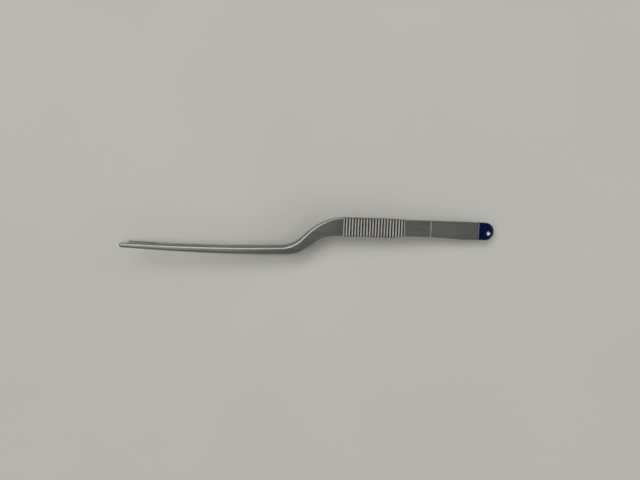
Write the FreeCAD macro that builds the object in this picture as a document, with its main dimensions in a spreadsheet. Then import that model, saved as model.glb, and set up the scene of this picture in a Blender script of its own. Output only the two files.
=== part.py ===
"""Bayonet dressing forceps: two sprung arms joined at the rear and a dipped end over the joint. Millimetres.

Each arm runs along X from its tip at X = 0 to the rear. The shaft lies on the X axis and the handle is set off
towards +Y by the bayonet bend. The arms open along Z, one each side of the plane Z = 0, and at the end the
whole forceps is tilted so that it lies on the flat outer face of its lower arm."""

import FreeCAD, Part
import math
import os

import Sketcher
from FreeCAD import Placement, Rotation, Vector

# Driving sizes: name, value in millimetres or degrees, what it measures.
SIZES = [
    ("tip_width", 2.1, "arm across its blunt tip"),
    ("tip_corner", 0.95, "corner radius of the tip, seen from above"),
    ("tip_thickness", 1.25, "arm at the tip, in the direction it springs"),
    ("tip_round", 0.8, "rounding of the outer edges at the tip"),
    ("shaft_length", 76.7, "tip to the front corner of the bayonet bend"),
    ("shaft_width", 3.9, "shaft where it meets the bend"),
    ("shaft_bow", 0.6, "sideways bow of the shaft between tip and bend"),
    ("shaft_round", 1.45, "rounding of the outer edges where the shaft meets the bend"),
    ("bayonet_offset", 11.25, "handle axis to shaft axis"),
    ("bend_length", 13.15, "front corner to rear corner of the bend, along the forceps"),
    ("bend_stagger", 1.1, "front corner of the bend's lower edge, behind that of the bend"),
    ("bend_lead", 1.65, "front corner of the bend's upper edge, before that of the bend"),
    ("shoulder_lead", 0.5, "rear corner of the bend's upper edge, before that of the bend"),
    ("bend_inner_radius", 14.0, "edge radius at the two hollow corners of the bend"),
    ("bend_outer_radius", 16.5, "edge radius at the full corner beside the shaft"),
    ("shoulder_radius", 26.0, "edge radius at the full corner beside the grip"),
    ("grip_length", 29.5, "rear corner of the bend to the neck"),
    ("grip_width", 8.25, "ribbed grip"),
    ("grip_thickness", 2.3, "ribbed grip, in the direction it springs"),
    ("grip_round", 0.35, "rounding of the outer edges of the grip"),
    ("neck_length", 7.0, "taper from the grip to the waist"),
    ("waist_length", 9.9, "parallel waist in front of the step"),
    ("waist_width", 7.15, "waist"),
    ("waist_shift", 0.3, "waist axis to handle axis"),
    ("edge_blend", 40.0, "radius that blends the grip, waist and heel edges"),
    ("face_blend", 100.0, "radius that blends the flats of the inner and outer faces"),
    ("step_ramp", 0.8, "sloping step from the waist down to the leaf"),
    ("leaf_length", 15.2, "step to the front of the welded heel"),
    ("leaf_thickness", 1.4, "spring leaf and heel"),
    ("leaf_round", 0.2, "broken edges of the inner faces"),
    ("heel_length", 13.6, "welded heel, to the steel's rear end"),
    ("heel_width", 7.9, "front of the heel"),
    ("heel_end_width", 7.5, "rear end of the heel, under the coating"),
    ("heel_corner", 3.55, "corner radius of the steel's rear end"),
    ("jaw_gap", 8.9, "inner faces apart at the tips"),
    ("bend_gap", 4.5, "inner faces apart at the bend"),
    ("neck_gap", 2.6, "inner faces apart at the waist"),
    ("rib_setback", 7.85, "rear corner of the bend to the first groove of the grip"),
    ("rib_pitch", 1.29, "groove to groove"),
    ("rib_depth", 0.32, "plain face to groove bottom"),
    ("rib_crest", 0.22, "radius of a groove's shoulders"),
    ("rib_root", 0.35, "radius of a groove bottom"),
    ("rib_count", 21, "grooves across the grip"),
    ("jaw_setback", 1.0, "tip to the first serration"),
    ("jaw_pitch", 0.8, "serration to serration"),
    ("jaw_depth", 0.22, "serration"),
    ("jaw_count", 16, "serrations on each inner face"),
    ("coat_length", 7.1, "dipped end, along the forceps"),
    ("coat_face", 0.35, "coating over the outer faces"),
    ("coat_edge", 0.22, "coating over the edges and the rear end"),
    ("coat_round", 0.7, "soft edge of the dipped end"),
    ("coat_rim", 0.2, "rounded rim of the coating"),
]

# Margin by which a cutting outline passes the metal that it cuts.
CLEAR = 2.0
# Crests end this far below the plain face, as the grooves are pressed in.
CREST_DROP = 0.03
# A groove's cutter starts this far over the crests, and leaves this share of the pitch to the next one's.
CUTTER_RISE = 0.01
CUTTER_SHARE = 0.02
# Form of a rib, in shares of its pitch from the crest line: where the flank starts and where it ends.
CREST_SHARE = 0.1
ROOT_SHARE = 0.39
# Half the width of a serration, as a share of its pitch, and how far its cutter passes the face, as a share
# of its depth.
SERRATION_SHARE = 0.4
SERRATION_MOUTH = 0.125
# A face counts as a wall or as a flat by how far its normal leans.
WALL_LEAN = 0.05
FACE_LEAN = 0.9
# Two points nearer than this along the forceps count as one station.
SAME_STATION = 0.02

# Stations along X, from the tip.
BEND_REAR = "(sizes.shaft_length + sizes.bend_length)"
GRIP_REAR = f"({BEND_REAR} + sizes.grip_length)"
NECK_REAR = f"({GRIP_REAR} + sizes.neck_length)"
STEP = f"({NECK_REAR} + sizes.waist_length)"
WELD = f"({STEP} + sizes.leaf_length)"
REAR = f"({WELD} + sizes.heel_length)"

# Heights over the plane between the arms.
TIP_INNER = "sizes.jaw_gap / 2"
TIP_OUTER = f"({TIP_INNER} + sizes.tip_thickness)"
NECK_OUTER = "(sizes.neck_gap / 2 + sizes.grip_thickness)"
OUTER_SLOPE = f"(({TIP_OUTER} - {NECK_OUTER}) / {NECK_REAR})"
JAW_SLOPE = "((sizes.jaw_gap - sizes.bend_gap) / 2 / sizes.shaft_length)"
LEAF_SLOPE = f"(sizes.neck_gap / 2 / ({WELD} - {NECK_REAR}))"


def make_sheet(doc):
    """The spreadsheet of driving sizes: name, value and meaning in each row."""
    sheet = doc.addObject("Spreadsheet::Sheet", "sizes")
    for row, (name, value, meaning) in enumerate(SIZES, start=1):
        sheet.set(f"A{row}", name)
        sheet.set(f"B{row}", str(value))
        sheet.set(f"C{row}", meaning)
        sheet.setAlias(f"B{row}", name)
    doc.recompute()
    return sheet


def bind(target, path, expression):
    """Sets one property from an expression on the sheet."""
    target.setExpression(path, expression)


def own_plane(body, role):
    """One of the body's own origin planes."""
    return next(f for f in body.Origin.OriginFeatures if f.Role == role)


def rounded_corner(before, corner, after, radius):
    """Arc that rounds a corner between two straight edges, and whether it turns left."""
    into = (corner - before).normalize()
    out = (after - corner).normalize()
    left = into.cross(out).z > 0
    reach = radius * math.tan(into.getAngle(out) / 2)
    side = Vector(-into.y, into.x, 0) * (radius if left else -radius)
    start = corner - into * reach
    end = corner + out * reach
    centre = start + side
    first, last = (start, end) if left else (end, start)
    angles = [math.atan2(p.y - centre.y, p.x - centre.x) for p in (first, last)]
    if angles[1] < angles[0]:
        angles[1] += 2 * math.pi
    circle = Part.Circle(centre, Vector(0, 0, 1), radius)
    return Part.ArcOfCircle(circle, *angles), start, end, left


def outline(body, name, role, corners):
    """A closed sketch on one of the body's own planes. Each corner is (x, y, radius) as expressions on the
    sheet, and a radius of None leaves it sharp."""
    sketch = body.newObject("Sketcher::SketchObject", name)
    sketch.AttachmentSupport = [(own_plane(body, role), "")]
    sketch.MapMode = "FlatFace"
    points = [Vector(sketch.evalExpression(x), sketch.evalExpression(y), 0) for x, y, _ in corners]
    count = len(points)
    starts, ends, arcs = list(points), list(points), {}
    for i, (_, _, radius) in enumerate(corners):
        if radius is not None:
            arcs[i], ends[i], starts[i], left = rounded_corner(
                points[i - 1], points[i], points[(i + 1) % count], float(sketch.evalExpression(radius))
            )
            arcs[i] = (arcs[i], left)
    rules, bound = [], []

    def place(index, position, x, y):
        for kind, value in (("DistanceX", x), ("DistanceY", y)):
            rules.append(Sketcher.Constraint(kind, -1, 1, index, position, float(sketch.evalExpression(value))))
            bound.append((len(rules) - 1, value))

    lines = [sketch.addGeometry(Part.LineSegment(starts[i], ends[(i + 1) % count])) for i in range(count)]
    for i, (x, y, radius) in enumerate(corners):
        before, after = lines[i - 1], lines[i]
        if radius is None:
            rules.append(Sketcher.Constraint("Coincident", before, 2, after, 1))
            place(after, 1, x, y)
            continue
        arc, left = arcs[i]
        curve = sketch.addGeometry(arc)
        first, last = (1, 2) if left else (2, 1)
        rules.append(Sketcher.Constraint("Tangent", before, 2, curve, first))
        rules.append(Sketcher.Constraint("Tangent", curve, last, after, 1))
        rules.append(Sketcher.Constraint("Radius", curve, arc.Radius))
        bound.append((len(rules) - 1, radius))
        corner = sketch.addGeometry(Part.Point(points[i]), True)
        rules.append(Sketcher.Constraint("PointOnObject", corner, 1, before))
        rules.append(Sketcher.Constraint("PointOnObject", corner, 1, after))
        place(corner, 1, x, y)
    sketch.addConstraint(rules)
    for index, expression in bound:
        if "sizes." in expression:
            bind(sketch, f"Constraints[{index}]", expression)
    return sketch


def cut_through(body, name, sketch):
    """Cuts a sketch right through the body, to both sides of its plane."""
    before = body.Tip.Shape.Volume if body.Tip else 0
    pocket = body.newObject("PartDesign::Pocket", name)
    pocket.Profile = sketch
    pocket.Type = "ThroughAll"
    pocket.SideType = "Symmetric"
    body.Document.recompute()
    if pocket.Shape.isNull() or pocket.Shape.Volume >= before:
        raise RuntimeError(f"{name} cuts nothing")
    return pocket


def arm_plan(body):
    """Outline of one arm from above: tip, shaft, bend, grip, waist and heel."""
    tip = "sizes.tip_width / 2"
    shaft_corner = "(sizes.tip_width + sizes.shaft_width) / 4"
    shaft_radius = "sizes.shaft_length ^ 2 / (11 * sizes.shaft_bow)"
    axis = "sizes.bayonet_offset"
    waist_axis = "(sizes.bayonet_offset + sizes.waist_shift)"
    grip, waist, heel = "sizes.grip_width / 2", "sizes.waist_width / 2", "sizes.heel_width / 2"
    heel_end, blend = "sizes.heel_end_width / 2", "sizes.edge_blend"
    lower = [
        ("0", f"-{tip}", "sizes.tip_corner"),
        ("sizes.shaft_length / 2", f"-{shaft_corner} - 2 * sizes.shaft_bow", shaft_radius),
        ("sizes.shaft_length + sizes.bend_stagger", "-sizes.shaft_width / 2", "sizes.bend_outer_radius"),
        (BEND_REAR, f"{axis} - {grip}", "sizes.bend_inner_radius"),
        (GRIP_REAR, f"{axis} - {grip}", blend),
        (NECK_REAR, f"{waist_axis} - {waist}", blend),
        (STEP, f"{waist_axis} - {waist}", blend),
        (WELD, f"{axis} - {heel}", blend),
        (REAR, f"{axis} - {heel_end}", "sizes.heel_corner"),
    ]
    upper = [
        (REAR, f"{axis} + {heel_end}", "sizes.heel_corner"),
        (WELD, f"{axis} + {heel}", blend),
        (STEP, f"{waist_axis} + {waist}", blend),
        (NECK_REAR, f"{waist_axis} + {waist}", blend),
        (GRIP_REAR, f"{axis} + {grip}", blend),
        (f"{BEND_REAR} - sizes.shoulder_lead", f"{axis} + {grip}", "sizes.shoulder_radius"),
        ("sizes.shaft_length - sizes.bend_lead", "sizes.shaft_width / 2", "sizes.bend_inner_radius"),
        ("sizes.shaft_length / 2", f"{shaft_corner} - 2 * sizes.shaft_bow", shaft_radius),
        ("0", tip, "sizes.tip_corner"),
    ]
    return outline(body, "arm_plan", "XY_Plane", lower + upper)


def make_blank(doc):
    """Arm of full thickness: the plan padded, then cut to its outer and inner faces."""
    body = doc.addObject("PartDesign::Body", "arm_blank")
    pad = body.newObject("PartDesign::Pad", "blank_pad")
    pad.Profile = arm_plan(body)
    bind(pad, "Length", f"{TIP_OUTER} + {CLEAR}")
    doc.recompute()
    far, top = f"{REAR} + {CLEAR}", f"{TIP_OUTER} + 2 * {CLEAR}"
    outer = [
        (f"-{CLEAR}", f"{TIP_OUTER} + {OUTER_SLOPE} * {CLEAR}", None),
        (NECK_REAR, NECK_OUTER, "sizes.face_blend"),
        (WELD, "sizes.grip_thickness", "sizes.face_blend"),
        (far, "sizes.grip_thickness", None),
        (far, top, None),
        (f"-{CLEAR}", top, None),
    ]
    cut_through(body, "outer_face", outline(body, "outer_line", "XZ_Plane", outer))
    inner = [
        (f"-{CLEAR}", f"{TIP_INNER} + {JAW_SLOPE} * {CLEAR}", None),
        (f"-{CLEAR}", f"-{CLEAR}", None),
        (WELD, f"-{CLEAR}", None),
        (WELD, "0", None),
        (NECK_REAR, "sizes.neck_gap / 2", "sizes.face_blend"),
        ("sizes.shaft_length", "sizes.bend_gap / 2", "sizes.face_blend"),
    ]
    cut_through(body, "inner_face", outline(body, "inner_line", "XZ_Plane", inner))
    return body


def wall_edges(shape, side):
    """Edges where a side wall meets the outer (side 1) or inner (side -1) face, each with its index and its
    two ends in clockwise order, seen from above."""
    found = []
    for index, edge in enumerate(shape.Edges, start=1):
        middle = edge.valueAt((edge.FirstParameter + edge.LastParameter) / 2)
        normals = []
        for face in shape.ancestorsOfType(edge, Part.Face):
            normals.append(face.normalAt(*face.Surface.parameter(middle)))
        wall = min(normals, key=lambda normal: abs(normal.z))
        if abs(wall.z) > WALL_LEAN or max(normal.z * side for normal in normals) < FACE_LEAN:
            continue
        start, end = edge.valueAt(edge.FirstParameter), edge.valueAt(edge.LastParameter)
        clockwise = (end - start).cross(wall).z > 0
        found.append((index, start, end) if clockwise else (index, end, start))
    return found


def round_blank(doc, sheet, blank):
    """Rounds the outer edges by a radius that grows from the tip to the bend and shrinks again to the grip,
    and breaks the inner edges in front of the weld."""
    weld = sheet.evalExpression(WELD)
    bend_front, bend_rear = sheet.evalExpression("sizes.shaft_length"), sheet.evalExpression(BEND_REAR)
    law = [
        (0, sheet.tip_round),
        (bend_front, sheet.shaft_round),
        (bend_rear + (bend_rear - bend_front) / 2, sheet.grip_round),
        (sheet.evalExpression(REAR), sheet.grip_round),
    ]

    def radius(x):
        for (x0, r0), (x1, r1) in zip(law, law[1:]):
            if x <= x1:
                return r0 + (r1 - r0) * max(0, x - x0) / (x1 - x0)
        return law[-1][1]

    edges = [(index, radius(start.x), radius(end.x)) for index, start, end in wall_edges(blank.Shape, 1)]
    for index, start, end in wall_edges(blank.Shape, -1):
        if max(start.x, end.x) < weld + SAME_STATION:
            edges.append((index, sheet.leaf_round, sheet.leaf_round))
    rounded = doc.addObject("Part::Fillet", "rounded_blank")
    rounded.Base = blank
    rounded.Edges = edges
    doc.recompute()
    return rounded


def tilt_sketch(sketch, x, height, slope):
    """Moves a sketch along the forceps and turns it down to the slope of the face that it cuts."""
    sketch.AttachmentOffset = Placement(Vector(), Rotation(Vector(0, 0, -1), 1))
    bind(sketch, "AttachmentOffset.Base.x", x)
    bind(sketch, "AttachmentOffset.Base.y", height)
    bind(sketch, "AttachmentOffset.Rotation.Angle", f"atan({slope})")


def cut_row(body, name, sketch, pitch, count):
    """Cuts a sketch through the body and repeats it along the sketch's own X axis."""
    groove = cut_through(body, name, sketch)
    row = body.newObject("PartDesign::LinearPattern", f"{name}_row")
    row.Originals = [groove]
    row.Refine = False
    row.Direction = (sketch, ["H_Axis"])
    row.Mode = "Spacing"
    bind(row, "Offset", pitch)
    bind(row, "Occurrences", count)
    body.Tip = row
    body.Document.recompute()
    if row.Shape.isNull() or row.Shape.Volume >= groove.Shape.Volume:
        raise RuntimeError(f"{name} is not repeated")
    return row


def cut_leaf(body):
    """The spring leaf and heel: thinned from the outer face behind a short sloping step."""
    drop = "(sizes.grip_thickness - sizes.leaf_thickness)"
    far, top = f"{REAR} + {CLEAR}", f"{TIP_OUTER} + 2 * {CLEAR}"
    root = f"{LEAF_SLOPE} * (sizes.leaf_length - sizes.step_ramp) + sizes.leaf_thickness"
    brow = f"{LEAF_SLOPE} * sizes.leaf_length + sizes.grip_thickness"
    corners = [
        (f"{STEP} + sizes.step_ramp", root, None),
        (WELD, "sizes.leaf_thickness", "sizes.face_blend"),
        (far, "sizes.leaf_thickness", None),
        (far, top, None),
        (f"{STEP} - sizes.step_ramp", top, None),
        (f"{STEP} - sizes.step_ramp", f"{brow} + {drop}", None),
    ]
    cut_through(body, "leaf", outline(body, "leaf_line", "XZ_Plane", corners))


def cut_ribs(body):
    """Cross grooves of the grip, with rounded shoulders and roots, square to the handle, in a shallow bed
    that sets the height of their crests."""
    pitch = "sizes.rib_pitch"
    start = f"({BEND_REAR} + sizes.rib_setback)"
    height = f"{TIP_OUTER} - {OUTER_SLOPE} * {start}"
    bed = [
        ("0", str(CLEAR), None),
        ("0", f"-{CREST_DROP}", None),
        (f"{pitch} * sizes.rib_count", f"-{CREST_DROP}", None),
        (f"{pitch} * sizes.rib_count", str(CLEAR), None),
    ]
    sketch = outline(body, "rib_bed_line", "XZ_Plane", bed)
    tilt_sketch(sketch, start, height, OUTER_SLOPE)
    cut_through(body, "rib_bed", sketch)
    side, crest, root = (f"{pitch} * {share}" for share in (CUTTER_SHARE / 2, CREST_SHARE, ROOT_SHARE))
    brow = f"-{CREST_DROP - CUTTER_RISE}"
    groove = [
        (side, str(CLEAR), None),
        (side, brow, None),
        (crest, brow, "sizes.rib_crest"),
        (root, "-sizes.rib_depth", "sizes.rib_root"),
        (f"{pitch} - {root}", "-sizes.rib_depth", "sizes.rib_root"),
        (f"{pitch} - {crest}", brow, "sizes.rib_crest"),
        (f"{pitch} - {side}", brow, None),
        (f"{pitch} - {side}", str(CLEAR), None),
    ]
    sketch = outline(body, "rib_line", "XZ_Plane", groove)
    tilt_sketch(sketch, start, height, OUTER_SLOPE)
    cut_row(body, "rib_groove", sketch, pitch, "sizes.rib_count")


def cut_serrations(body):
    """Fine V grooves across the inner face of the tip."""
    half = f"sizes.jaw_pitch * {SERRATION_SHARE}"
    mouth = f"-sizes.jaw_depth * {SERRATION_MOUTH}"
    corners = [
        (f"-{half} * {SERRATION_MOUTH}", mouth, None),
        (f"{half} * {2 + SERRATION_MOUTH}", mouth, None),
        (half, "sizes.jaw_depth", None),
    ]
    sketch = outline(body, "serration_line", "XZ_Plane", corners)
    tilt_sketch(sketch, "sizes.jaw_setback", f"{TIP_INNER} - {JAW_SLOPE} * sizes.jaw_setback", JAW_SLOPE)
    cut_row(body, "serration", sketch, "sizes.jaw_pitch", "sizes.jaw_count")


def make_upper_arm(doc, rounded, place):
    """The arm above the plane between the arms, finished from its rounded blank."""
    body = doc.addObject("PartDesign::Body", "upper_arm")
    body.BaseFeature = rounded
    body.Placement = place
    doc.recompute()
    cut_leaf(body)
    cut_ribs(body)
    cut_serrations(body)
    return body


def make_coat(doc):
    """Outer form of the dipped end, before the arms are taken out of it."""
    body = doc.addObject("PartDesign::Body", "coat_form")
    rear = f"{REAR} + sizes.coat_edge"
    front = f"{rear} - sizes.coat_length"
    half = "(sizes.heel_end_width / 2 + sizes.coat_edge)"
    corner = "sizes.heel_corner + sizes.coat_edge"
    corners = [
        (front, f"sizes.bayonet_offset - {half}", None),
        (rear, f"sizes.bayonet_offset - {half}", corner),
        (rear, f"sizes.bayonet_offset + {half}", corner),
        (front, f"sizes.bayonet_offset + {half}", None),
    ]
    pad = body.newObject("PartDesign::Pad", "coat_pad")
    pad.Profile = outline(body, "coat_line", "XY_Plane", corners)
    pad.SideType = "Symmetric"
    bind(pad, "Length", "2 * (sizes.leaf_thickness + sizes.coat_face)")
    doc.recompute()
    front_x = pad.Shape.BoundBox.XMin
    soft, rim = [], []
    for index, edge in enumerate(pad.Shape.Edges, start=1):
        box = edge.BoundBox
        if box.ZLength < CREST_DROP and box.XMax > front_x + CREST_DROP:
            soft.append(f"Edge{index}")
    fillet = body.newObject("PartDesign::Fillet", "coat_soft")
    fillet.Base = (pad, soft)
    bind(fillet, "Radius", "sizes.coat_round")
    doc.recompute()
    for index, edge in enumerate(fillet.Shape.Edges, start=1):
        if edge.BoundBox.XMax < front_x + CREST_DROP:
            rim.append(f"Edge{index}")
    edge_round = body.newObject("PartDesign::Fillet", "coat_lip")
    edge_round.Base = (fillet, rim)
    bind(edge_round, "Radius", "sizes.coat_rim")
    doc.recompute()
    return body


def lying_place(sheet, shapes):
    """Placement that lays the forceps on the flat outer face of its lower arm, with the middle of its box
    over the origin. The shapes and their mirror images make up its outline."""
    lie = Rotation(Vector(0, 1, 0), math.degrees(math.atan(sheet.evalExpression(OUTER_SLOPE))))
    box = FreeCAD.BoundBox()
    for shape in shapes:
        for half in (shape.copy(), shape.mirror(Vector(), Vector(0, 0, 1))):
            half.Placement = Placement(Vector(), lie).multiply(half.Placement)
            box.add(half.optimalBoundingBox(False, False))
    return Placement(Vector(-box.Center.x, -box.Center.y, -box.ZMin), lie)


def main():
    doc = FreeCAD.newDocument("forceps")
    sheet = make_sheet(doc)
    rounded = round_blank(doc, sheet, make_blank(doc))
    coat = make_coat(doc)
    place = lying_place(sheet, (rounded.Shape, coat.Shape))
    coat.Placement = place
    upper = make_upper_arm(doc, rounded, place)
    lower = doc.addObject("Part::Mirroring", "lower_arm")
    lower.Source = upper
    lower.Base = place.Base
    lower.Normal = place.Rotation.multVec(Vector(0, 0, 1))
    arms = doc.addObject("Part::Compound", "both_arms")
    arms.Links = [upper, lower]
    cap = doc.addObject("Part::Cut", "rear_cap")
    cap.Base = coat
    cap.Tool = arms
    doc.recompute()

    for thing in doc.Objects:
        if "Invalid" in thing.State or "Error" in thing.State:
            raise RuntimeError(f"{thing.Name} did not build: {thing.State}")
    os.makedirs("parts", exist_ok=True)
    for node in (upper, lower, cap):
        if node.Shape.isNull() or not node.Shape.isValid() or len(node.Shape.Solids) != 1:
            raise RuntimeError(f"{node.Label} is not one sound solid")
        node.Shape.exportStep(f"parts/{node.Label}.step")
        print(node.Label, round(node.Shape.Volume, 1), node.Shape.optimalBoundingBox(False, False))


main()
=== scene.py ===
"""Studio scene of a pair of bayonet dressing tweezers.

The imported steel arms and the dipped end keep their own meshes. This script gives
them their finishes, lays a pale floor under them, lights them and sets the camera.
"""

import logging
import math
from dataclasses import dataclass, field
from enum import Enum
from typing import Any, Union

import bmesh
import bpy
from mathutils import Matrix, Vector


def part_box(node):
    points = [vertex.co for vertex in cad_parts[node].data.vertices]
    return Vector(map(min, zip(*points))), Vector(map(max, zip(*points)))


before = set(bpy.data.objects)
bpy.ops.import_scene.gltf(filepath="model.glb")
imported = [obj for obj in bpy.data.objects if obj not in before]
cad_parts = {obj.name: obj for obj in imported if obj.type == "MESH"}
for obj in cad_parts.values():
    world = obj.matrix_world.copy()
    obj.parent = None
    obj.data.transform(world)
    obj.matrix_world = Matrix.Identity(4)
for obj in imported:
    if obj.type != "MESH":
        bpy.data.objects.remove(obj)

MM = 0.001
NOISE_MEAN = 0.5
MIX_SHARE, MIX_FIRST, MIX_SECOND = 0, 6, 7
MIX_RESULT = 2
OUT = logging.getLogger("tweezers")

Colour = tuple[float, float, float]
Span = tuple[float, float]
Number = Union[float, "Signal"]
Settings = dict[str, Any]
Sockets = dict[Union[str, int], Any]


def solid(colour: Colour) -> tuple[float, float, float, float]:
    """Gives a colour with full opacity, as a colour socket takes it."""
    return (*colour, 1.0)


@dataclass(frozen=True)
class Signal:
    """An output socket of a finish, on which sums are written as expressions."""

    board: "NodeBoard"
    socket: bpy.types.NodeSocket

    def __add__(self, other: Number) -> "Signal":
        """Gives this value plus another."""
        return self.board.math("ADD", self, other)

    def __radd__(self, other: float) -> "Signal":
        """Gives a number plus this value."""
        return self.board.math("ADD", other, self)

    def __sub__(self, other: Number) -> "Signal":
        """Gives this value less another."""
        return self.board.math("SUBTRACT", self, other)

    def __rsub__(self, other: float) -> "Signal":
        """Gives a number less this value."""
        return self.board.math("SUBTRACT", other, self)

    def __mul__(self, other: Number) -> "Signal":
        """Gives this value times another."""
        return self.board.math("MULTIPLY", self, other)

    def __rmul__(self, other: float) -> "Signal":
        """Gives a number times this value."""
        return self.board.math("MULTIPLY", other, self)

    def __truediv__(self, other: Number) -> "Signal":
        """Gives this value divided by another."""
        return self.board.math("DIVIDE", self, other)

    def __rtruediv__(self, other: float) -> "Signal":
        """Gives a number divided by this value."""
        return self.board.math("DIVIDE", other, self)


@dataclass(frozen=True)
class Marks:
    """Noise marks on a surface.

    Their length along X and their breadth are in millimetres, layers is how much finer noise they hold,
    and tone and rough are how much they count in the colour and in the roughness.
    """

    length: float
    breadth: float
    layers: float
    tone: float = 0.0
    rough: float = 0.0


class NodeBoard:
    """A node tree that is filled by expressions and by one general method."""

    def __init__(self, tree: bpy.types.NodeTree) -> None:
        """Starts from an empty tree.

        Args:
            tree: the tree, whose nodes are cleared.
        """
        self.tree = tree
        self.tree.nodes.clear()

    def node(
        self,
        kind: str,
        settings: Settings | None = None,
        sockets: Sockets | None = None,
    ) -> bpy.types.Node:
        """Adds one node.

        Args:
            kind: the node's type.
            settings: its own settings, which are set before its sockets.
            sockets: a value or a signal for each socket that is named.

        Returns:
            The node.
        """
        made = self.tree.nodes.new(kind)
        for name, value in (settings or {}).items():
            setattr(made, name, value)
        for name, value in (sockets or {}).items():
            if isinstance(value, Signal):
                self.tree.links.new(value.socket, made.inputs[name])
            else:
                made.inputs[name].default_value = value
        return made

    def signal(
        self,
        kind: str,
        settings: Settings | None = None,
        sockets: Sockets | None = None,
        output: Union[str, int] = 0,
    ) -> Signal:
        """Adds one node and gives one of its outputs.

        Args:
            kind: the node's type.
            settings: its own settings, which are set before its sockets.
            sockets: a value or a signal for each socket that is named.
            output: the output that is wanted.

        Returns:
            The wanted output.
        """
        return Signal(self, self.node(kind, settings, sockets).outputs[output])

    def math(self, operation: str, first: Number, second: Number) -> Signal:
        """Adds a Math node on two values."""
        return self.signal("ShaderNodeMath", {"operation": operation}, {0: first, 1: second})

    def ramp(self, value: Signal, low: float, high: float) -> Signal:
        """Rises smoothly from 0 where a value is low to 1 where it is high.

        Args:
            value: the value that is read.
            low: where the rise starts.
            high: where the rise ends; it may be below low, for a fall.

        Returns:
            A signal between 0 and 1.
        """
        settings = {"interpolation_type": "SMOOTHSTEP"}
        sockets: Sockets = {"Value": value, "From Min": low, "From Max": high}
        return self.signal("ShaderNodeMapRange", settings, sockets)

    def window(self, value: Signal, low: float, high: float, edge: float) -> Signal:
        """Gives 1 between two places and 0 beyond them.

        Args:
            value: the place that is read, in metres.
            low: the lower place, in metres.
            high: the higher place, in metres.
            edge: how far beyond the two places the signal reaches 0, in millimetres. An edge
                below 0 has 0 at the two places and 1 that far inside them.

        Returns:
            A signal between 0 and 1.
        """
        outer, inner = max(edge, 0.0) * MM, min(edge, 0.0) * MM
        return self.ramp(value, low - outer, low - inner) * self.ramp(value, high + outer, high + inner)

    def tint(self, share: Signal, first: Union[Colour, Signal], second: Union[Colour, Signal]) -> Signal:
        """Mixes two colours.

        Args:
            share: how much of the second colour is taken, from 0 to 1.
            first: a colour or a signal.
            second: a colour or a signal.

        Returns:
            The mixed colour.
        """
        sockets: Sockets = {MIX_SHARE: share}
        for socket, colour in ((MIX_FIRST, first), (MIX_SECOND, second)):
            sockets[socket] = colour if isinstance(colour, Signal) else solid(colour)
        return self.signal("ShaderNodeMix", {"data_type": "RGBA"}, sockets, MIX_RESULT)

    def place(self) -> Signal:
        """Gives the point of the surface in the frame, in metres."""
        return self.signal("ShaderNodeTexCoord", output="Object")

    def axes(self, point: Signal) -> tuple[Signal, ...]:
        """Splits a point or a direction into its X, Y and Z."""
        split = self.node("ShaderNodeSeparateXYZ", None, {0: point})
        return tuple(Signal(self, output) for output in split.outputs)

    def grain(self, marks: Marks) -> Signal:
        """Gives noise with marks of a length along X and a breadth across it.

        Args:
            marks: the marks.

        Returns:
            Noise around NOISE_MEAN.
        """
        stretch = Vector((1.0 / marks.length, 1.0 / marks.breadth, 1.0 / marks.breadth)) / MM
        settings = {"operation": "MULTIPLY"}
        spot = self.signal("ShaderNodeVectorMath", settings, {0: self.place(), 1: stretch})
        sockets: Sockets = {"Vector": spot, "Scale": 1.0, "Detail": marks.layers}
        return self.signal("ShaderNodeTexNoise", None, sockets)

    def bump(self, height: Signal, distance: float = 1.0, under: Signal | None = None) -> Signal:
        """Raises a surface by a height signal.

        Args:
            height: the height signal.
            distance: the real height of 1, in millimetres.
            under: the normal that this one is laid on.

        Returns:
            The new normal.
        """
        sockets: Sockets = {"Height": height, "Distance": distance * MM}
        if under is not None:
            sockets["Normal"] = under
        return self.signal("ShaderNodeBump", None, sockets)


class FinishBoard(NodeBoard):
    """The node board of one new material."""

    def __init__(self, name: str) -> None:
        """Starts an empty material.

        Args:
            name: the material's name.
        """
        self.material = bpy.data.materials.new(name)
        self.material.use_nodes = True
        super().__init__(self.material.node_tree)

    def finish(self, sockets: Sockets) -> bpy.types.Material:
        """Closes the material with its shader.

        Args:
            sockets: the shader's sockets by name.

        Returns:
            The finished material.
        """
        shader = self.signal("ShaderNodeBsdfPrincipled", None, sockets)
        self.node("ShaderNodeOutputMaterial", None, {"Surface": shader})
        return self.material


class Side(Enum):
    """Which of the two arms a piece is."""

    UPPER = "upper_arm"
    LOWER = "lower_arm"


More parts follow.
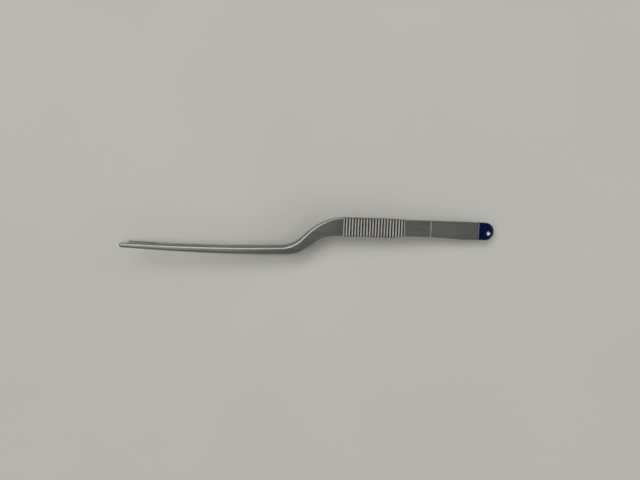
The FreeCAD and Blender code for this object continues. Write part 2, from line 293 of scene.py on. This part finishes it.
@dataclass(frozen=True)
class SatinSteel:
    """Satin ground stainless steel: fine lengthwise grain, with rougher lands on the ribs that carry a
    painted highlight, and painted shade in the grooves between them.

    Depths below the face, edges and heights are in millimetres. Each depth span goes from where its mask
    starts to where it is full.
    """

    colour: Colour = (0.295, 0.298, 0.269)
    worn_colour: Colour = (0.355, 0.356, 0.325)
    # Painted shade: a near-black tint that darkens the rib grooves where shade falls.
    groove_shade_colour: Colour = (0.040, 0.038, 0.034)
    # Painted highlight: a pale tint that lightens the rib crests as if they caught the light.
    land_highlight_colour: Colour = (0.63, 0.615, 0.575)
    roughness: float = 0.36
    land_roughness: float = 0.50
    grain: Marks = Marks(4.0, 0.16, 3.0, tone=0.3, rough=0.10)
    streak: Marks = Marks(14.0, 0.8, 2.0, tone=0.4, rough=0.12)
    patch: Marks = Marks(18.0, 9.0, 2.0, tone=0.3, rough=0.12)
    grit: Marks = Marks(0.07, 0.07, 1.0)
    grain_height: float = 0.0030
    grit_height: float = 0.0012
    worn_span: Span = (0.38, 0.62)
    land_depth: Span = (0.15, 0.06)
    groove_depth: Span = (0.12, 0.22)
    side_depth: Span = (0.60, 0.45)
    rib_edge: float = 0.2
    land_edge: float = 0.7

    def dress(self, name: str, depth_of: "FacePlane", ribs: "RibbedPatch") -> bpy.types.Material:
        """Makes the steel of one arm.

        Args:
            name: the material's name.
            depth_of: the plane of the arm's outer face.
            ribs: the part of that face that is ribbed.

        Returns:
            The material.
        """
        board = FinishBoard(name)
        along, across, height = board.axes(board.place())
        depth = depth_of.depth(along, height)
        ribbed = board.window(along, ribs.front, ribs.rear, self.rib_edge)
        ground = board.window(across, ribs.near, ribs.far, -self.land_edge)
        # Painted highlight on the rib crests, which also get a rougher finish.
        rough_highlit_land = ribbed * ground * board.ramp(depth, *self.land_depth)
        # Painted shade in the rib grooves, kept off the arm's sides.
        painted_groove_shade = ribbed * board.ramp(depth, *self.groove_depth) * board.ramp(depth, *self.side_depth)

        pulled = board.grain(self.grain)
        streaks = board.grain(self.streak)
        patches = board.grain(self.patch)
        grit = board.grain(self.grit)

        tones = pulled * self.grain.tone + streaks * self.streak.tone + patches * self.patch.tone
        worn = board.ramp(tones, *self.worn_span)
        # The steel's own tone, darkened by the painted groove shade.
        groove_shaded = board.tint(painted_groove_shade, board.tint(worn, self.colour, self.worn_colour), self.groove_shade_colour)
        # The painted crest highlight is laid over the rest.
        colour = board.tint(rough_highlit_land, groove_shaded, self.land_highlight_colour)
        uneven = (
            (pulled - NOISE_MEAN) * self.grain.rough
            + (streaks - NOISE_MEAN) * self.streak.rough
            + (patches - NOISE_MEAN) * self.patch.rough
        )
        roughness = self.roughness + uneven + rough_highlit_land * (self.land_roughness - self.roughness)
        normal = board.bump(grit, self.grit_height, board.bump(pulled, self.grain_height))
        return board.finish({
            "Base Color": colour,
            "Metallic": 1.0,
            "Roughness": roughness,
            "Normal": normal,
        })


@dataclass(frozen=True)
class RibbedPatch:
    """The ribbed part of a face, between two places along X and two along Y, in metres."""

    front: float
    rear: float
    near: float
    far: float


@dataclass(frozen=True)
class FacePlane:
    """The plane of an arm's outer face, with its height at X = 0 in metres and its slope along X.

    Down says that the steel lies below the plane.
    """

    height: float
    slope: float
    down: bool

    def depth(self, along: Signal, height: Signal) -> Signal:
        """Gives how far a point lies inside the plane, in millimetres.

        Args:
            along: the point's X, in metres.
            height: the point's Z, in metres.

        Returns:
            The depth, which grows into the steel.
        """
        if self.down:
            return (self.height + along * self.slope - height) / MM
        return (height - (self.height + along * self.slope)) / MM


@dataclass(frozen=True)
class DippedCoating:
    """Glossy navy coating that the rear end was dipped in, with a painted highlight along its front rim.

    The rim highlight's span, from where the painted highlight starts to where it is palest, is in
    millimetres from the rim. The crown is how fast the dome falls away from its middle, in millimetres for
    each square millimetre.
    """

    colour: Colour = (0.0007, 0.0056, 0.044)
    # Painted highlight: the pale rim tint stands in for the light that the coating's front edge catches.
    rim_highlight_colour: Colour = (0.165, 0.215, 0.30)
    rim_highlight_span: Span = (0.45, 0.225)
    roughness: float = 0.07
    rim_roughness: float = 0.15
    ior: float = 1.5
    swell: Marks = Marks(1.6, 1.6, 1.0)
    swell_height: float = 0.010
    cloud: Marks = Marks(3.0, 3.0, 2.0, rough=0.06)
    cloud_span: Span = (0.35, 0.65)
    cloud_lift: float = 1.35
    crown: float = 0.007

    def dress(self, name: str, low: Vector, high: Vector) -> bpy.types.Material:
        """Makes the coating.

        Args:
            name: the material's name.
            low: the lower corner of the coating's box.
            high: the upper corner of the coating's box.

        Returns:
            The material.
        """
        board = FinishBoard(name)
        along, across, _ = board.axes(board.place())
        ahead = (along - (low.x + high.x) / 2) / MM
        aside = (across - (low.y + high.y) / 2) / MM
        dome = 1.0 - (ahead * ahead + aside * aside) * self.crown
        # Painted highlight along the front rim, which is also made rougher.
        rough_highlit_rim = board.ramp(along, *(low.x + place * MM for place in self.rim_highlight_span))
        ripple = board.grain(self.swell)
        clouds = board.grain(self.cloud)
        lighter = tuple(self.cloud_lift * part for part in self.colour)
        deep = board.tint(board.ramp(clouds, *self.cloud_span), self.colour, lighter)
        colour = board.tint(rough_highlit_rim, deep, self.rim_highlight_colour)
        roughness = self.roughness + (clouds - NOISE_MEAN) * self.cloud.rough + rough_highlit_rim * self.rim_roughness
        normal = board.bump(ripple, self.swell_height, board.bump(dome))
        return board.finish({
            "Base Color": colour,
            "Roughness": roughness,
            "IOR": self.ior,
            "Normal": normal,
        })


@dataclass
class SteelArms:
    """The two mirror-image arms.

    The ribs' two ends are in millimetres from the tips, and the grip's width is in millimetres. The spread
    is the angle between the arms' outer faces, in radians.
    """

    rib_front: float = 97.7
    rib_rear: float = 124.7
    grip_width: float = 8.25
    spread: float = math.radians(1.9)
    steel: SatinSteel = SatinSteel()

    def outer_plane(self, side: Side) -> FacePlane:
        """Gives the plane of an arm's outer face.

        Args:
            side: which arm.

        Returns:
            The plane.
        """
        low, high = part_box(side.value)
        if side is Side.LOWER:
            return FacePlane(low.z, 0.0, False)
        slope = -math.tan(self.spread)
        return FacePlane(high.z - slope * low.x, slope, True)

    def dress(self, side: Side) -> bpy.types.Object:
        """Gives an arm its steel.

        Args:
            side: which arm.

        Returns:
            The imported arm.
        """
        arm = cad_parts[side.value]
        low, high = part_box(side.value)
        ribs = RibbedPatch(
            low.x + self.rib_front * MM, low.x + self.rib_rear * MM, high.y - self.grip_width * MM, high.y
        )
        steel = self.steel.dress(f"satin_steel_{side.name.lower()}", self.outer_plane(side), ribs)
        for slot in arm.material_slots:
            slot.material = steel
        return arm


@dataclass
class DippedEnd:
    """The coating over the joined rear ends of the arms."""

    node: str = "rear_cap"
    coating: DippedCoating = DippedCoating()

    def dress(self) -> bpy.types.Object:
        """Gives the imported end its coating.

        Returns:
            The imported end.
        """
        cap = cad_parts[self.node]
        coating = self.coating.dress("dipped_navy_coating", *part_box(self.node))
        for slot in cap.material_slots:
            slot.material = coating
        return cap


@dataclass(frozen=True)
class PaleFloor:
    """Matt pale paper that the tweezers lie on."""

    colour: Colour = (0.70, 0.688, 0.635)
    darkest: float = 0.97
    unevenness: Marks = Marks(90.0, 90.0, 2.0)
    tone_span: Span = (0.3, 0.7)
    roughness: float = 0.9
    gloss: float = 0.2

    def dress(self, name: str) -> bpy.types.Material:
        """Makes the paper, with a soft unevenness of tone.

        Args:
            name: the material's name.

        Returns:
            The material.
        """
        board = FinishBoard(name)
        tone = board.ramp(board.grain(self.unevenness), *self.tone_span)
        darker = tuple(self.darkest * part for part in self.colour)
        return board.finish({
            "Base Color": board.tint(tone, darker, self.colour),
            "Roughness": self.roughness,
            "Specular IOR Level": self.gloss,
        })


@dataclass(frozen=True)
class SoftLight:
    """A soft rectangular light that faces the tweezers, with angles in degrees and lengths in metres."""

    name: str
    azimuth: float
    elevation: float
    distance: float
    breadth: float
    height: float
    brightness: float

    def place(self) -> bpy.types.Object:
        """Adds the light.

        Returns:
            The light.
        """
        lamp = bpy.data.lights.new(self.name, "AREA")
        lamp.shape = "RECTANGLE"
        lamp.size = self.breadth
        lamp.size_y = self.height
        lamp.energy = self.brightness * math.pi * self.breadth * self.height
        made = bpy.data.objects.new(self.name, lamp)
        turn = math.radians(self.azimuth)
        rise = math.radians(self.elevation)
        towards = Vector((math.cos(turn) * math.cos(rise), math.sin(turn) * math.cos(rise), math.sin(rise)))
        made.location = towards * self.distance
        made.rotation_euler = towards.to_track_quat("Z", "Y").to_euler()
        bpy.context.scene.collection.objects.link(made)
        return made


@dataclass
class StudioAir:
    """The light of the surroundings: bright on the far left and low on the right, faint near, dim overhead.

    Each span holds the two parts of a direction between which a light grows from nothing to full.
    """

    dim: float = 0.07
    far_right: float = 0.24
    far_left: float = 2.75
    left_span: Span = (0.10, -0.45)
    far_span: Span = (0.0, 0.50)
    far_low: Span = (0.50, 0.95)
    left_lean: float = 1.15
    near_light: float = 0.24
    near_span: Span = (-0.20, -0.75)
    right_light: float = 6.0
    right_span: Span = (0.50, 0.92)
    right_high: Span = (0.62, 0.36)
    right_low: Span = (0.21, 0.33)
    backdrop: Colour = (0.60, 0.585, 0.545)

    def build(self) -> bpy.types.World:
        """Makes the world.

        Returns:
            The world, which is also the scene's.
        """
        world = bpy.data.worlds.new("studio_air")
        world.use_nodes = True
        board = NodeBoard(world.node_tree)
        across, away, height = board.axes(board.signal("ShaderNodeTexCoord"))
        left = board.ramp(across, *self.left_span)
        far = board.ramp(away - across * self.left_lean, *self.far_span) * board.ramp(height, *self.far_low)
        right = board.ramp(across, *self.right_span) * board.ramp(height, *self.right_high)
        right = right * board.ramp(height, *self.right_low)
        far = far * (self.far_right + left * (self.far_left - self.far_right))
        near = board.ramp(away, *self.near_span) * self.near_light
        glow = self.dim + far + near + right * self.right_light
        air = board.signal("ShaderNodeBackground", None, {"Strength": glow})
        seen = board.signal("ShaderNodeBackground", None, {"Color": solid(self.backdrop)})
        ray = board.signal("ShaderNodeLightPath", output="Is Camera Ray")
        mixed = board.signal("ShaderNodeMixShader", None, {0: ray, 1: air, 2: seen})
        board.node("ShaderNodeOutputWorld", None, {"Surface": mixed})
        bpy.context.scene.world = world
        return world


@dataclass
class Studio:
    """The pale floor, the soft lights and the plain surroundings.

    The floor's size is in metres, and its drop below the tweezers in millimetres.
    """

    floor_size: float = 4.0
    floor_squares: int = 8
    floor_drop: float = 0.02
    paper: PaleFloor = field(default_factory=PaleFloor)
    air: StudioAir = field(default_factory=StudioAir)
    lights: tuple[SoftLight, ...] = (
        SoftLight(
            "key_light", azimuth=112.0, elevation=50.0, distance=1.6,
            breadth=1.5, height=0.7, brightness=1.9,
        ),
        SoftLight(
            "lamp", azimuth=-10.4, elevation=64.5, distance=1.6365,
            breadth=0.030, height=0.030, brightness=50.0,
        ),
    )

    def lay_floor(self) -> bpy.types.Object:
        """Makes the floor under the tweezers.

        Returns:
            The floor.
        """
        mesh = bpy.data.meshes.new("floor")
        shape = bmesh.new()
        squares = self.floor_squares
        bmesh.ops.create_grid(shape, x_segments=squares, y_segments=squares, size=self.floor_size / 2)
        bmesh.ops.translate(shape, verts=shape.verts, vec=(0.0, 0.0, -self.floor_drop * MM))
        shape.to_mesh(mesh)
        shape.free()
        mesh.materials.append(self.paper.dress("pale_paper"))
        floor = bpy.data.objects.new("floor", mesh)
        bpy.context.scene.collection.objects.link(floor)
        return floor

    def build(self) -> None:
        """Lays the floor, hangs the lights and sets the world."""
        self.lay_floor()
        for light in self.lights:
            light.place()
        self.air.build()


@dataclass
class PhotographView:
    """A camera that looks down on the tweezers, a little from the handle's side.

    Lengths are in metres and angles in radians. The breadth seen is the picture's, at the target.
    """

    distance: float = 0.219
    breadth_seen: float = 0.2816
    tilt: float = math.radians(5.0)
    roll: float = math.radians(2.1)
    target: tuple[float, float, float] = (0.0050, -0.0014, 0.0085)

    def place(self) -> bpy.types.Object:
        """Adds the camera and makes it the scene's.

        Returns:
            The camera.
        """
        data = bpy.data.cameras.new("photograph_view")
        data.lens = data.sensor_width * self.distance / self.breadth_seen
        across = Vector((math.cos(self.roll), math.sin(self.roll), 0.0))
        upward = Vector((-math.sin(self.roll), math.cos(self.roll), 0.0))
        back = (Vector((0.0, 0.0, 1.0)) * math.cos(self.tilt) + upward * math.sin(self.tilt)).normalized()
        turn = Matrix((across, back.cross(across), back)).transposed()
        camera = bpy.data.objects.new("photograph_view", data)
        camera.matrix_world = Matrix.Translation(Vector(self.target) + back * self.distance) @ turn.to_4x4()
        bpy.context.scene.collection.objects.link(camera)
        bpy.context.scene.camera = camera
        return camera


def main() -> None:
    """Dresses the tweezers, then sets the studio and the camera."""
    logging.basicConfig(level=logging.INFO, format="%(name)s: %(message)s")
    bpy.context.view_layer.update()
    bpy.context.scene.view_settings.view_transform = "Standard"
    arms = SteelArms()
    for side in Side:
        OUT.info("dressed %s", arms.dress(side).name)
    OUT.info("dressed %s", DippedEnd().dress().name)
    Studio().build()
    OUT.info("studio is set")
    PhotographView().place()
    OUT.info("camera is set")


if __name__ == "__main__":
    main()
